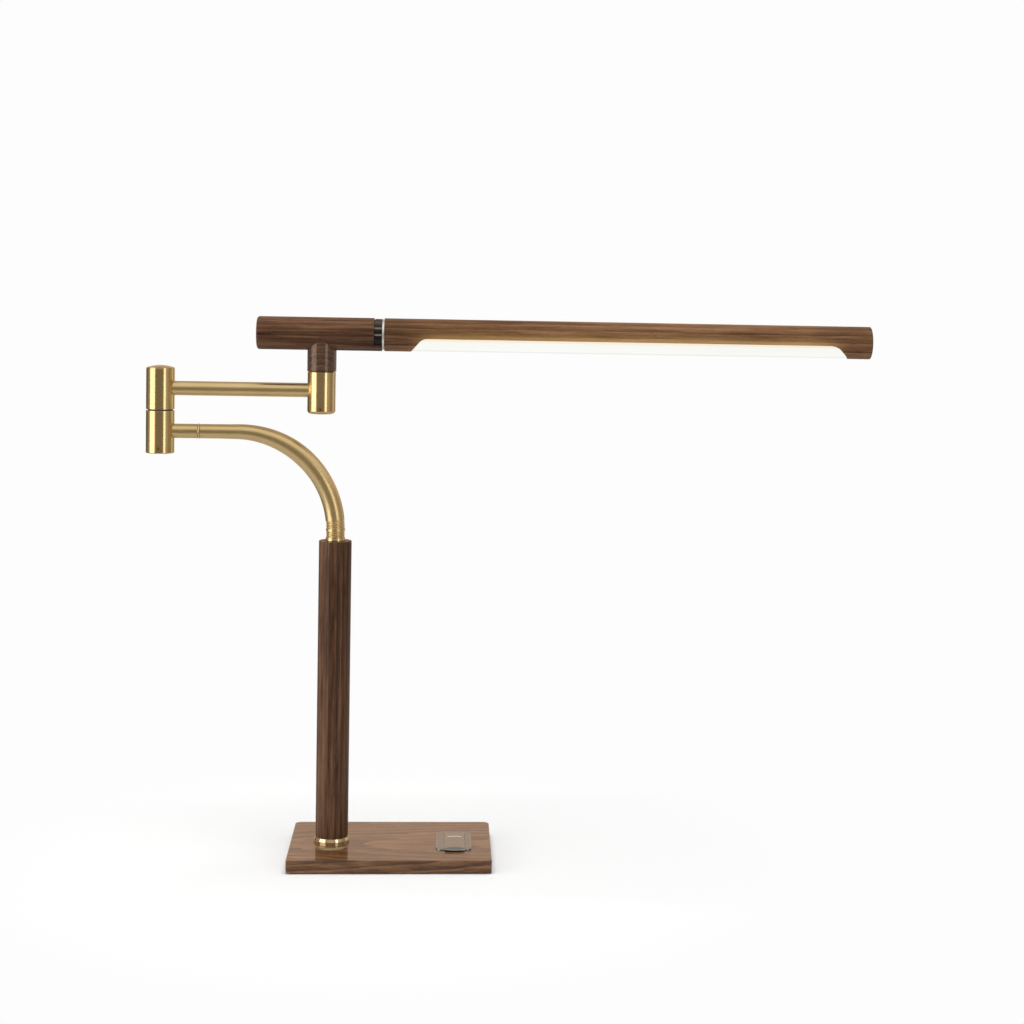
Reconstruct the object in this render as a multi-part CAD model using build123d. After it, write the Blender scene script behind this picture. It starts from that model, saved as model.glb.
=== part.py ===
from build123d import *
import math
import os

# Walnut and brass table lamp with a swing arm and a long round light bar.
# Sizes are in millimetres. X runs to the right along the light bar, Y runs to the
# back and Z up. The origin is the middle of the pad that the lamp stands on.

# Base plate, its pocket, cover and pad
base_width = 185.0
base_depth = 130.0
base_height = 11.2
base_front_corner_radius = 2.5
base_back_corner_radius = 6.0
base_edge_radius = 0.9
base_rim = 10.0
pocket_roof = 3.8
pad_thickness = 1.0
pad_inset = 2.0
pad_corner_radius = 4.0
cover_thickness = 1.2
cover_inset = 3.0
cover_corner_radius = 4.0
cover_gap = 0.15
cover_screw_inset = 6.5
cover_screw_length = 7.5
ballast_thickness = 5.8
ballast_gap = 2.0

# Cord gland in the back edge of the base
gland_bore_radius = 2.6
gland_body_radius = 3.8
gland_flange_radius = 4.8
gland_flange_thickness = 1.2
gland_tail = 1.0

# Tie rod that clamps the post to the base
post_inset = 37.75
rod_radius = 5.0
rod_bore_radius = 3.5
clamp_roof = 2.5
clamp_washer_radius = 20.0
clamp_washer_thickness = 1.2
thin_nut_thickness = 3.3
nut_across_flats = 14.0
thread_gap = 0.02

# Post with its collar and ferrule
collar_radius = 16.4
collar_top_radius = 15.4
collar_foot_radius = 15.2
collar_foot_height = 1.8
collar_wall_height = 0.5
collar_height = 5.0
collar_edge_radius = 0.2
post_radius = 15.0
post_height = 275.3
post_bore_radius = 5.6
post_edge_radius = 0.5
socket_depth = 22.0
ferrule_radius = 9.25
ferrule_height = 2.0
coupling_height = 16.0

# Curved neck tube, which narrows near its upper end
neck_radius = 8.75
neck_end_radius = 6.6
neck_wall = 1.2
neck_rise = 9.5
bend_radius = 89.7
taper_start_angle = 45.0
taper_run = 20.0
neck_run = 35.1
foot_groove_count = 8
foot_groove_pitch = 1.95
foot_groove_depth = 0.75
foot_groove_start = 2.4
seam_chamfer = 0.5

# Short tube between the seam and the elbow
stub_length = 35.25
sleeve_length = 20.0
sleeve_wall = 1.4
seam_rib_height = 0.45
seam_rib_width = 1.4
seam_rib_edge_radius = 0.55

# Knuckles, their plugs, spindles and nuts
knuckle_radius = 12.95
chamber_radius = 9.2
knuckle_end_wall = 5.5
knuckle_edge_radius = 0.9
wrist_edge_radius = 3.2
lower_elbow_below = 20.3
lower_elbow_above = 18.8
upper_elbow_below = 19.2
upper_elbow_above = 18.1
wrist_below = 21.6
wrist_above = 17.0
cap_rim_height = 0.6
cap_dome_height = 2.2
cap_spigot_height = 4.0
plug_thickness = 7.0
plug_recess = 0.5
grub_radius = 1.5
grub_length = 4.2
grub_height = 4.6
grub_recess = 0.4
elbow_washer_thickness = 1.1
wrist_washer_thickness = 0.5
friction_washer_inset = 1.6
spindle_radius = 5.0
spindle_bore_radius = 3.5
spindle_end = 0.8
running_gap = 0.06
lock_nut_thickness = 3.7
spring_washer_thickness = 1.0
spring_washer_radius = 8.0

# Upper arm
arm_radius = 6.55
arm_wall = 1.2
arm_span = 145.8

# Tee, which holds the light bar
stem_radius = 13.35
stem_height = 34.4
stem_insert_radius = 7.0
stem_insert_height = 15.0
bar_radius = 15.1
bar_left = 59.0
bar_right = 47.5
bar_edge_radius = 0.9
bar_left_edge_radius = 2.6
bar_bore_radius = 7.1
bar_insert_length = 21.0
bar_insert_recess = 1.0
glue_gap = 0.05

# Swivel ring and washer between the tee and the light bar
ring_length = 7.2
ring_radius = 14.4
ring_groove_width = 0.7
ring_groove_depth = 0.9
tongue_below_axis = 9.2
tongue_gap = 0.1
brass_washer_length = 2.2
brass_washer_radius = 14.2

# Light bar
head_length = 450.6
head_edge_radius = 0.9
head_end_wall = 23.2
light_left = 24.1
light_left_ramp = 10.5
light_left_radius = 9.5
light_right = 21.0
light_right_ramp = 12.4
light_right_radius = 14.0
light_edge_below_axis = 2.9
channel_half_width = 10.5
channel_above_axis = 6.9
nut_pocket_radius = 8.5
nut_pocket_length = 7.0
diffuser_inset = 0.45
diffuser_gap = 0.15
diffuser_wall = 1.8
diffuser_leg_thickness = 1.5
heat_sink_thickness = 4.0
heat_sink_gap = 0.3
board_thickness = 1.2
board_half_width = 7.0
board_setback = 20.0
board_end_setback = 8.0
led_count = 36
led_length = 3.5
led_width = 2.8
led_height = 0.8
led_end_margin = 9.0
terminal_length = 6.0
terminal_half_width = 4.0
terminal_height = 3.2
sink_screw_count = 3
sink_screw_grip = 9.0
sink_margin = 1.0

# Switch in the base
bezel_width = 32.5
bezel_depth = 54.6
bezel_thickness = 1.8
bezel_corner_radius = 5.0
bezel_edge_radius = 1.1
bezel_right_inset = 18.0
bezel_front_inset = 32.0
bezel_left_rail = 7.6
bezel_back_rail = 4.6
bezel_pin_radius = 1.2
bezel_pin_length = 3.0
button_width = 18.5
button_gap = 0.25
button_height = 3.3
button_crown = 0.5
button_wall = 1.6
button_nose = 5.0
button_nose_bow = 1.6
button_lip_drop = 1.5
button_overhang = 6.0
button_travel = 1.0
button_flange = 1.2
button_flange_height = 1.2
button_edge_radius = 0.7
window_length = 13.0
window_width = 1.8
window_depth = 1.4
window_back = 15.0
housing_wall = 1.4
housing_floor = 1.2
switch_board_thickness = 1.0
tact_size = 6.0
tact_height = 3.2
plunger_radius = 1.7
plunger_height = 0.8
spring_radius = 2.6
spring_wire = 0.5
spring_turns = 5
spring_spread = 14.0

# Control board in the base
driver_width = 28.0
driver_depth = 44.0
driver_gap = 6.75
coil_radius = 5.0
coil_height = 4.2
capacitor_radius = 2.3
capacitor_length = 9.0
chip_size = 5.0
chip_height = 1.4
board_screw_inset = 3.0
board_screw_grip = 2.6

# Screws and the lead inside the lamp
screw_radius = 1.5
screw_head_radius = 2.9
screw_head_height = 1.4
small_screw_radius = 1.1
small_head_radius = 2.1
small_head_height = 1.2
drive_depth = 0.8
lead_radius = 1.3
lead_base_bend = 5.0
lead_knuckle_bend = 10.0

# Heights of the base and post
wood_bottom = pad_thickness
base_top = wood_bottom + base_height
cover_top = wood_bottom + cover_thickness
pocket_top = base_top - pocket_roof
clamp_top = base_top - clamp_roof
clamp_nut_top = clamp_top - clamp_washer_thickness
rod_bottom = clamp_nut_top - thin_nut_thickness
gland_z = wood_bottom + base_height / 2
collar_top = base_top + collar_height
post_top = collar_top + post_height
neck_bottom = post_top - socket_depth
rod_top = neck_bottom + coupling_height - spindle_end
bend_start = post_top + neck_rise

# Places of the neck, knuckles and bars
post_x = -base_width / 2 + post_inset
bend_x = post_x - bend_radius
stub_z = bend_start + bend_radius
seam_x = bend_x - neck_run
elbow_x = seam_x - stub_length
seam_left = seam_x - seam_rib_width / 2
seam_right = seam_x + seam_rib_width / 2
elbow_bottom = stub_z - lower_elbow_below
elbow_middle = stub_z + lower_elbow_above
upper_elbow_bottom = elbow_middle + elbow_washer_thickness
arm_z = upper_elbow_bottom + upper_elbow_below
upper_elbow_top = arm_z + upper_elbow_above
wrist_x = elbow_x + arm_span
wrist_bottom = arm_z - wrist_below
wrist_top = arm_z + wrist_above
stem_bottom = wrist_top + wrist_washer_thickness
bar_z = stem_bottom + stem_height
bar_start = wrist_x - bar_left
bar_end = wrist_x + bar_right
washer_start = bar_end + ring_length
head_start = washer_start + brass_washer_length
head_stop = head_start + head_length

# Places inside the light bar
nut_face = head_start + head_end_wall
light_start = head_start + light_left
light_roof_start = light_start + light_left_ramp
light_stop = head_stop - light_right
light_roof_stop = light_stop - light_right_ramp
light_edge_z = bar_z - light_edge_below_axis
channel_top = bar_z + channel_above_axis
sink_bottom = channel_top - heat_sink_thickness
board_bottom = sink_bottom - board_thickness
board_start = nut_face + board_setback
board_stop = light_roof_stop - board_end_setback
sink_screw_top = board_bottom + sink_screw_grip

# Places of the switch and the control board
bezel_right = base_width / 2 - bezel_right_inset
bezel_left = bezel_right - bezel_width
bezel_front = -base_depth / 2 + bezel_front_inset
bezel_back = bezel_front + bezel_depth
bezel_top = base_top + bezel_thickness
button_left = bezel_left + bezel_left_rail + button_gap
button_x = button_left + button_width / 2
button_back = bezel_back - bezel_back_rail - button_gap
button_front = bezel_front - button_nose
button_top = base_top + button_height
skirt_front = bezel_front + button_overhang
skirt_bottom = base_top - button_flange_height - running_gap
well_left = button_left - button_flange - 2 * button_gap - housing_wall
well_right = button_left + button_width + button_flange + 2 * button_gap + housing_wall
well_front = skirt_front - button_gap
well_back = button_back + button_flange + button_gap + housing_wall
switch_y = (well_front + well_back) / 2
driver_left = well_left - driver_gap - driver_width
gland_x = driver_left + driver_width / 2
board_top = cover_top + housing_floor + switch_board_thickness
pocket_half_width = base_width / 2 - base_rim
pocket_half_depth = base_depth / 2 - base_rim


def box(x, y, z):
    """A block between the given limits, each a pair of numbers."""
    width, depth, height = x[1] - x[0], y[1] - y[0], z[1] - z[0]
    middle = Pos((x[0] + x[1]) / 2, (y[0] + y[1]) / 2, (z[0] + z[1]) / 2)
    return middle * Box(width, depth, height)


def rod_z(radius, bottom, top, x=0.0, y=0.0):
    """An upright cylinder."""
    return Pos(x, y, (bottom + top) / 2) * Cylinder(radius, top - bottom)


def rod_x(radius, start, stop, z, y=0.0):
    """A level cylinder along X."""
    return Pos((start + stop) / 2, y, z) * Rot(0, 90, 0) * Cylinder(radius, stop - start)


def rod_y(radius, front, back, x, z):
    """A level cylinder along Y."""
    return Pos(x, (front + back) / 2, z) * Rot(90, 0, 0) * Cylinder(radius, back - front)


def pipe_z(radius, bore, bottom, top, x=0.0, y=0.0):
    """An upright pipe or washer."""
    return rod_z(radius, bottom, top, x, y) - rod_z(bore, bottom, top, x, y)


def pipe_x(radius, bore, start, stop, z):
    """A level pipe or washer along X."""
    return rod_x(radius, start, stop, z) - rod_x(bore, start, stop, z)


def plate(width, depth, front_corner, back_corner, bottom, top):
    """A plate centred on the origin, with rounded corners at its front and back."""
    block = box((-width / 2, width / 2), (-depth / 2, depth / 2), (bottom, top))
    block = fillet(block.edges().filter_by(Axis.Z).sort_by(Axis.Y)[-2:], back_corner)
    return fillet(block.edges().filter_by(Axis.Z).sort_by(Axis.Y)[:2], front_corner)


def hexagon(across_flats, height):
    """A six-sided block that stands on the XY plane."""
    return extrude(RegularPolygon(across_flats / 2, 6, major_radius=False), height)


def nut_z(bottom, thickness, x):
    """A hexagon nut on an upright spindle."""
    block = Pos(x, 0, bottom) * hexagon(nut_across_flats, thickness)
    return block - rod_z(rod_radius + thread_gap, bottom, bottom + thickness, x)


def circles(shape):
    """The round edges of a shape, lowest first."""
    return shape.edges().filter_by(GeomType.CIRCLE).sort_by(Axis.Z)


def round_rod_z(radius, bottom, top, x, bottom_edge, top_edge):
    """An upright cylinder with rounded edges."""
    rod = rod_z(radius, bottom, top, x)
    rod = fillet(circles(rod)[0], bottom_edge)
    return fillet(circles(rod)[-1], top_edge)


def round_rod_x(radius, start, stop, z, start_edge, stop_edge):
    """A level cylinder along X with rounded edges."""
    rod = rod_x(radius, start, stop, z)
    rod = fillet(rod.edges().filter_by(GeomType.CIRCLE).sort_by(Axis.X)[0], start_edge)
    return fillet(rod.edges().filter_by(GeomType.CIRCLE).sort_by(Axis.X)[-1], stop_edge)


def corners(x_inset, y_inset):
    """The four places at the base's corners."""
    half_width = base_width / 2 - x_inset
    half_depth = base_depth / 2 - y_inset
    return [(x, y) for x in (-half_width, half_width) for y in (-half_depth, half_depth)]


def lead(points, radii):
    """The two-core lead along a route of straight runs and arcs."""
    route = FilletPolyline(*points, radius=radii)
    start = Plane(origin=route @ 0, z_dir=route % 0)
    return sweep(start * Circle(lead_radius), path=route)


def base_plate():
    """The walnut plate, milled out below for the ballast and the electronics."""
    front_corner, back_corner = base_front_corner_radius, base_back_corner_radius
    wood = plate(base_width, base_depth, front_corner, back_corner, wood_bottom, base_top)
    wood = fillet(wood.faces().sort_by(Axis.Z)[-1].edges(), base_edge_radius)
    recess_width = base_width - 2 * cover_inset + 2 * cover_gap
    recess_depth = base_depth - 2 * cover_inset + 2 * cover_gap
    corner = cover_corner_radius + cover_gap
    wood -= plate(recess_width, recess_depth, corner, corner, wood_bottom, cover_top)
    pocket_width, pocket_depth = 2 * pocket_half_width, 2 * pocket_half_depth
    wood -= plate(pocket_width, pocket_depth, base_rim / 2, base_rim / 2, cover_top, pocket_top)
    wood -= rod_z(clamp_washer_radius + cover_gap, pocket_top, clamp_top, post_x)
    wood -= rod_z(rod_radius + cover_gap, clamp_top, base_top, post_x)
    wood -= box((well_left, well_right), (well_front, well_back), (pocket_top, base_top))
    for x, y in bezel_pin_places():
        wood -= rod_z(bezel_pin_radius + thread_gap, base_top - bezel_pin_length, base_top, x, y)
    for x, y in corners(cover_screw_inset, cover_screw_inset):
        wood -= rod_z(screw_radius + thread_gap, cover_top, wood_bottom + cover_screw_length, x, y)
        wood -= screw_cone(x, y, thread_gap)
    for x, y in board_screw_places():
        wood -= rod_z(small_screw_radius + thread_gap, pocket_top, pocket_top + board_screw_grip, x, y)
    back = base_depth / 2
    inner = pocket_half_depth - gland_tail - cover_gap
    wood -= rod_y(gland_body_radius + thread_gap, inner, back, gland_x, gland_z)
    flange_front = back - gland_flange_thickness
    wood -= rod_y(gland_flange_radius + thread_gap, flange_front, back, gland_x, gland_z)
    return wood


def screw_cone(x, y, gap):
    """The countersunk head of a cover screw, or the seat for it."""
    height = screw_head_radius - screw_radius
    head = Cone(screw_head_radius + gap, screw_radius + gap, height)
    return Pos(x, y, wood_bottom + height / 2) * head


def cover_screws():
    """Four countersunk wood screws with a hexagon drive."""
    screws = []
    for x, y in corners(cover_screw_inset, cover_screw_inset):
        screw = rod_z(screw_radius, wood_bottom, wood_bottom + cover_screw_length, x, y)
        screw += screw_cone(x, y, 0.0)
        screw -= Pos(x, y, wood_bottom) * hexagon(screw_radius, drive_depth)
        screws.append(screw)
    return Compound(children=screws)


def base_cover():
    """The steel sheet that closes the underside."""
    width = base_width - 2 * cover_inset
    depth = base_depth - 2 * cover_inset
    sheet = plate(width, depth, cover_corner_radius, cover_corner_radius, wood_bottom, cover_top)
    for x, y in corners(cover_screw_inset, cover_screw_inset):
        sheet -= screw_cone(x, y, thread_gap)
        sheet -= rod_z(screw_radius + thread_gap, wood_bottom, cover_top, x, y)
    return sheet


def base_pad():
    """The soft non-slip pad under the whole base."""
    width = base_width - 2 * pad_inset
    depth = base_depth - 2 * pad_inset
    return plate(width, depth, pad_corner_radius, pad_corner_radius, 0.0, pad_thickness)


def ballast():
    """The steel weight in the pocket, cut out round the electronics and the clamp."""
    half_width = pocket_half_width - ballast_gap
    half_depth = pocket_half_depth - ballast_gap
    top = cover_top + ballast_thickness
    corner = base_rim / 2
    weight = plate(2 * half_width, 2 * half_depth, corner, corner, cover_top, top)
    window_left = driver_left - ballast_gap
    window_right = well_right + ballast_gap
    window_front = well_front - ballast_gap
    window_back = max(well_back, driver_depth / 2) + ballast_gap
    window_front = min(window_front, -driver_depth / 2 - ballast_gap)
    weight -= box((window_left, window_right), (window_front, window_back), (cover_top, top))
    weight -= rod_z(clamp_washer_radius + ballast_gap, cover_top, top, post_x)
    slot_half = lead_radius + ballast_gap
    weight -= box((post_x, window_left), (-slot_half, slot_half), (cover_top, top))
    cord_half = gland_body_radius + cover_gap
    weight -= box((gland_x - cord_half, gland_x + cord_half), (0.0, half_depth), (cover_top, top))
    return weight


def cord_gland():
    """The rubber bush in the back edge that a supply cord passes through."""
    back = base_depth / 2
    inner = pocket_half_depth - gland_tail
    flange_front = back - gland_flange_thickness
    bush = rod_y(gland_body_radius, inner, back, gland_x, gland_z)
    bush += rod_y(gland_flange_radius, flange_front, back, gland_x, gland_z)
    return bush - rod_y(gland_bore_radius, inner, back, gland_x, gland_z)


def clamp_washer():
    """The wide steel washer under the post."""
    return pipe_z(clamp_washer_radius, rod_radius + cover_gap, clamp_nut_top, clamp_top, post_x)


def clamp_nut():
    """The thin nut that pulls the tie rod down."""
    return nut_z(rod_bottom, thin_nut_thickness, post_x)


def tie_rod():
    """The hollow threaded rod through the post."""
    return pipe_z(rod_radius, rod_bore_radius, rod_bottom, rod_top, post_x)


def post_collar():
    """The brass ring between the post and the base, which narrows towards the post."""
    lip_bottom = base_top + collar_foot_height
    wall_top = lip_bottom + collar_wall_height
    slope = Cone(collar_radius, collar_top_radius, collar_top - wall_top)
    ring = rod_z(collar_radius, lip_bottom, wall_top, post_x)
    ring += Pos(post_x, 0, (wall_top + collar_top) / 2) * slope
    ring = fillet(circles(ring), collar_edge_radius)
    ring += rod_z(collar_foot_radius, base_top, lip_bottom, post_x)
    return ring - rod_z(rod_radius + cover_gap, base_top, collar_top, post_x)


def post():
    """The round walnut post, bored through for the rod and lead."""
    edge = post_edge_radius
    wood = round_rod_z(post_radius, collar_top, post_top, post_x, edge / 3, edge)
    wood -= rod_z(post_bore_radius, collar_top, neck_bottom, post_x)
    return wood - rod_z(neck_radius + cover_gap, neck_bottom, post_top, post_x)


def post_ferrule():
    """The brass ring round the neck's foot."""
    top = post_top + ferrule_height
    ring = rod_z(ferrule_radius, post_top, top, post_x)
    ring = fillet(circles(ring)[-1], (ferrule_radius - neck_radius) / 2)
    return ring - rod_z(neck_radius + thread_gap, post_top, top, post_x)


def neck_coupling():
    """The threaded steel plug that joins the tie rod to the neck."""
    radius = neck_radius - neck_wall - thread_gap
    bore = rod_radius + thread_gap
    return pipe_z(radius, bore, neck_bottom, neck_bottom + coupling_height, post_x)


def neck_plane(distance):
    """The plane square to the neck's middle line, at a distance past the bend's start."""
    arc_length = bend_radius * math.pi / 2
    if distance > arc_length:
        place = (bend_x - (distance - arc_length), 0, stub_z)
        return Plane(origin=place, x_dir=(0, 1, 0), z_dir=(-1, 0, 0))
    angle = distance / bend_radius
    place = (bend_x + bend_radius * math.cos(angle), 0, bend_start + bend_radius * math.sin(angle))
    return Plane(origin=place, x_dir=(0, 1, 0), z_dir=(-math.sin(angle), 0, math.cos(angle)))


def neck_form(inset):
    """The neck as a bent solid rod, thinner all over by the inset."""
    wide = neck_radius - inset
    narrow = neck_end_radius - inset
    foot = rod_z(wide, neck_bottom, bend_start, post_x)
    ring = Pos(post_x, 0, bend_start) * Circle(wide)
    axis = Axis((bend_x, 0, bend_start), (0, -1, 0))
    bend = revolve(ring, axis, taper_start_angle)
    start = bend_radius * math.radians(taper_start_angle)
    stop = bend_radius * math.pi / 2 + taper_run
    sections = []
    steps = 10
    for step in range(steps + 1):
        share = step / steps
        ease = share * share * (3 - 2 * share)
        radius = wide + (narrow - wide) * ease
        sections.append(neck_plane(start + (stop - start) * share) * Circle(radius))
    taper = loft(sections)
    end = rod_x(narrow, seam_right, bend_x - taper_run, stub_z)
    return foot + bend + taper + end


def curved_neck():
    """The brass neck tube, with turned grooves round its foot."""
    tube = neck_form(0.0)
    end_edge = tube.edges().filter_by(GeomType.CIRCLE).sort_by(Axis.X)[0]
    tube = chamfer(end_edge, seam_chamfer)
    tube -= neck_form(neck_wall)
    for index in range(foot_groove_count):
        distance = foot_groove_start + foot_groove_pitch * index - neck_rise + ferrule_height
        if distance < 0:
            place = Pos(post_x, 0, bend_start + distance)
        else:
            place = neck_plane(distance)
        tube -= place * Torus(neck_radius, foot_groove_depth)
    return tube


def stub_tube():
    """The short tube that carries the elbow."""
    start = elbow_x + chamber_radius - neck_wall
    tube = rod_x(neck_end_radius, start, seam_left, stub_z)
    end_edge = tube.edges().filter_by(GeomType.CIRCLE).sort_by(Axis.X)[-1]
    tube = chamfer(end_edge, seam_chamfer)
    return tube - rod_x(neck_end_radius - neck_wall, start, seam_left, stub_z)


def seam_sleeve():
    """The sleeve inside the two tubes, with a rounded rib between their ends."""
    radius = neck_end_radius - neck_wall - thread_gap
    start = seam_x - sleeve_length / 2
    stop = seam_x + sleeve_length / 2
    rib = rod_x(neck_end_radius + seam_rib_height, seam_left, seam_right, stub_z)
    rib = fillet(circles(rib), seam_rib_edge_radius)
    sleeve = rod_x(radius, start, stop, stub_z) + rib
    return sleeve - rod_x(radius - sleeve_wall, start, stop, stub_z)


def knuckle(x, bottom, top, bottom_edge, top_edge):
    """A knuckle's outside."""
    return round_rod_z(knuckle_radius, bottom, top, x, bottom_edge, top_edge)


def grub_place(x, bottom):
    """The place and depth of a grub screw, from the knuckle's front inwards."""
    front = -knuckle_radius + grub_recess
    return front, front + grub_length, x, bottom + grub_height


def grub_screw(x, bottom):
    """A hexagon-drive grub screw that holds a knuckle's plug."""
    front, back, place_x, place_z = grub_place(x, bottom)
    screw = rod_y(grub_radius, front, back, place_x, place_z)
    drive = Pos(place_x, front, place_z) * Rot(-90, 0, 0) * hexagon(grub_radius, drive_depth)
    return screw - drive


def grub_hole(x, bottom):
    """The threaded hole for a grub screw, open to the front."""
    front, back, place_x, place_z = grub_place(x, bottom)
    return rod_y(grub_radius + thread_gap, -2 * knuckle_radius, back + thread_gap, place_x, place_z)


def knuckle_below(x, bottom, top, edge, bore):
    """A knuckle that opens at its bottom, with a bored wall at its top."""
    shell = knuckle(x, bottom, top, edge, knuckle_edge_radius / 3)
    shell -= rod_z(chamber_radius, bottom, top - knuckle_end_wall, x)
    shell -= rod_z(bore, top - knuckle_end_wall, top, x)
    return shell - grub_hole(x, bottom)


def knuckle_plug(x, bottom):
    """The turned plug in a knuckle's open end, notched for its grub screw."""
    low = bottom + plug_recess
    plug = rod_z(chamber_radius - thread_gap, low, low + plug_thickness, x)
    plug = chamfer(circles(plug)[0], plug_recess)
    return plug - grub_hole(x, bottom)


def lower_elbow():
    """The elbow's fixed knuckle."""
    bore = spindle_radius + thread_gap
    shell = knuckle_below(elbow_x, elbow_bottom, elbow_middle, knuckle_edge_radius, bore)
    hole_stop = elbow_x + knuckle_radius
    return shell - rod_x(neck_end_radius + thread_gap, elbow_x, hole_stop, stub_z)


def elbow_spindle():
    """The hollow threaded spindle that the upper elbow turns on."""
    low = elbow_middle - knuckle_end_wall - thin_nut_thickness - 2 * spindle_end
    high = elbow_nut_bottom() + lock_nut_thickness + spindle_end
    return pipe_z(spindle_radius, spindle_bore_radius, low, high, elbow_x)


def elbow_nut_bottom():
    """The height of the elbow's lock nut."""
    return upper_elbow_bottom + knuckle_end_wall + spring_washer_thickness


def elbow_nuts():
    """The thin nut that fixes the elbow's spindle, and the lock nut that sets its stiffness."""
    fixed_bottom = elbow_middle - knuckle_end_wall - thin_nut_thickness
    fixed = nut_z(fixed_bottom, thin_nut_thickness, elbow_x)
    lock = nut_z(elbow_nut_bottom(), lock_nut_thickness, elbow_x)
    return Compound(children=[fixed, lock])


def elbow_spring_washer():
    """The sprung washer under the elbow's lock nut."""
    bottom = upper_elbow_bottom + knuckle_end_wall
    bore = spindle_radius + running_gap
    return pipe_z(spring_washer_radius, bore, bottom, bottom + spring_washer_thickness, elbow_x)


def elbow_washer():
    """The friction washer between the two elbow knuckles."""
    radius = knuckle_radius - friction_washer_inset
    return pipe_z(radius, spindle_radius + running_gap, elbow_middle, upper_elbow_bottom, elbow_x)


def upper_elbow():
    """The elbow's turning knuckle, open at its top."""
    edge = knuckle_edge_radius / 3
    shell = knuckle(elbow_x, upper_elbow_bottom, upper_elbow_top, edge, edge)
    floor = upper_elbow_bottom + knuckle_end_wall
    shell -= rod_z(chamber_radius, floor, upper_elbow_top, elbow_x)
    shell -= rod_z(spindle_radius + running_gap, upper_elbow_bottom, floor, elbow_x)
    hole_stop = elbow_x + knuckle_radius
    return shell - rod_x(arm_radius + thread_gap, elbow_x, hole_stop, arm_z)


def elbow_cap():
    """The domed cap that closes the upper elbow."""
    rim = knuckle_radius - knuckle_edge_radius / 3
    top = upper_elbow_top + cap_rim_height + cap_dome_height
    dome_radius = (rim**2 + cap_dome_height**2) / (2 * cap_dome_height)
    dome = Pos(elbow_x, 0, top - dome_radius) * Sphere(dome_radius)
    cap = dome & rod_z(rim, upper_elbow_top, top, elbow_x)
    spigot_radius = chamber_radius - thread_gap
    return cap + rod_z(spigot_radius, upper_elbow_top - cap_spigot_height, upper_elbow_top, elbow_x)


def arm_tube():
    """The straight brass tube between elbow and wrist."""
    start = elbow_x + chamber_radius - arm_wall
    stop = wrist_x - chamber_radius + arm_wall
    return pipe_x(arm_radius, arm_radius - arm_wall, start, stop, arm_z)


def wrist():
    """The knuckle at the arm's end, which the tee turns on."""
    bore = spindle_radius + running_gap
    shell = knuckle_below(wrist_x, wrist_bottom, wrist_top, wrist_edge_radius, bore)
    return shell - rod_x(arm_radius + thread_gap, wrist_x - knuckle_radius, wrist_x, arm_z)


def wrist_washer():
    """The friction washer between wrist and stem."""
    radius = knuckle_radius - friction_washer_inset
    return pipe_z(radius, spindle_radius + thread_gap, wrist_top, stem_bottom, wrist_x)


def wrist_spring_washer():
    """The sprung washer over the wrist's lock nut."""
    top = wrist_top - knuckle_end_wall
    bore = spindle_radius + thread_gap
    return pipe_z(spring_washer_radius, bore, top - spring_washer_thickness, top, wrist_x)


def wrist_nut_bottom():
    """The height of the wrist's lock nut."""
    return wrist_top - knuckle_end_wall - spring_washer_thickness - lock_nut_thickness


def wrist_spindle():
    """The hollow threaded spindle from the wrist up into the tee."""
    high = bar_z - bar_bore_radius
    low = wrist_nut_bottom() - spindle_end
    return pipe_z(spindle_radius, spindle_bore_radius, low, high, wrist_x)


def stem():
    """The tee's walnut stem, coped to the bar that it carries."""
    wood = rod_z(stem_radius, stem_bottom, bar_z, wrist_x)
    wood -= rod_x(bar_radius + glue_gap, bar_start, bar_end, bar_z)
    wood -= rod_z(spindle_radius + glue_gap, stem_bottom, bar_z, wrist_x)
    insert_top = stem_bottom + stem_insert_height
    return wood - rod_z(stem_insert_radius + thread_gap, stem_bottom, insert_top, wrist_x)


def stem_insert():
    """The threaded brass insert in the stem."""
    top = stem_bottom + stem_insert_height
    return pipe_z(stem_insert_radius, spindle_radius + thread_gap, stem_bottom, top, wrist_x)


def tongue_zone(below_axis):
    """The space under the black ring, from a height below the bar's axis down."""
    limits_y = (-bar_radius, bar_radius)
    limits_z = (bar_z - 2 * bar_radius, bar_z - below_axis)
    return box((bar_end, washer_start), limits_y, limits_z)


def tee_bar():
    """The tee's walnut bar, bored from its right end, with a tongue under the black ring."""
    edge = bar_edge_radius
    wood = round_rod_x(bar_radius, bar_start, bar_end, bar_z, bar_left_edge_radius, edge / 3)
    tongue = round_rod_x(bar_radius, bar_start, washer_start - tongue_gap, bar_z, edge, edge / 3)
    wood += tongue & tongue_zone(tongue_below_axis)
    bore_start = wrist_x - lead_knuckle_bend
    wood -= rod_x(bar_bore_radius, bore_start, bar_end, bar_z)
    return wood - rod_z(spindle_radius + glue_gap, bar_z - bar_radius, bar_z, wrist_x)


def bar_insert():
    """The threaded brass insert that holds the light bar's spindle."""
    stop = bar_end - bar_insert_recess
    start = stop - bar_insert_length
    radius = bar_bore_radius - thread_gap
    return pipe_x(radius, spindle_radius + thread_gap, start, stop, bar_z)


def head_spindle():
    """The hollow spindle that the light bar turns on."""
    start = bar_end - bar_insert_recess - bar_insert_length
    stop = nut_face + spring_washer_thickness + lock_nut_thickness + spindle_end
    return pipe_x(spindle_radius, spindle_bore_radius, start, stop, bar_z)


def pivot_ring():
    """The black ring, with a groove at its left edge, cut off over the bar's tongue."""
    edge = ring_groove_depth / 3
    ring = round_rod_x(ring_radius, bar_end, washer_start, bar_z, edge, edge)
    ring -= tongue_zone(tongue_below_axis - tongue_gap)
    groove_bore = ring_radius - ring_groove_depth
    ring -= pipe_x(2 * ring_radius, groove_bore, bar_end, bar_end + ring_groove_width, bar_z)
    return ring - rod_x(spindle_radius + running_gap, bar_end, washer_start, bar_z)


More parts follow.
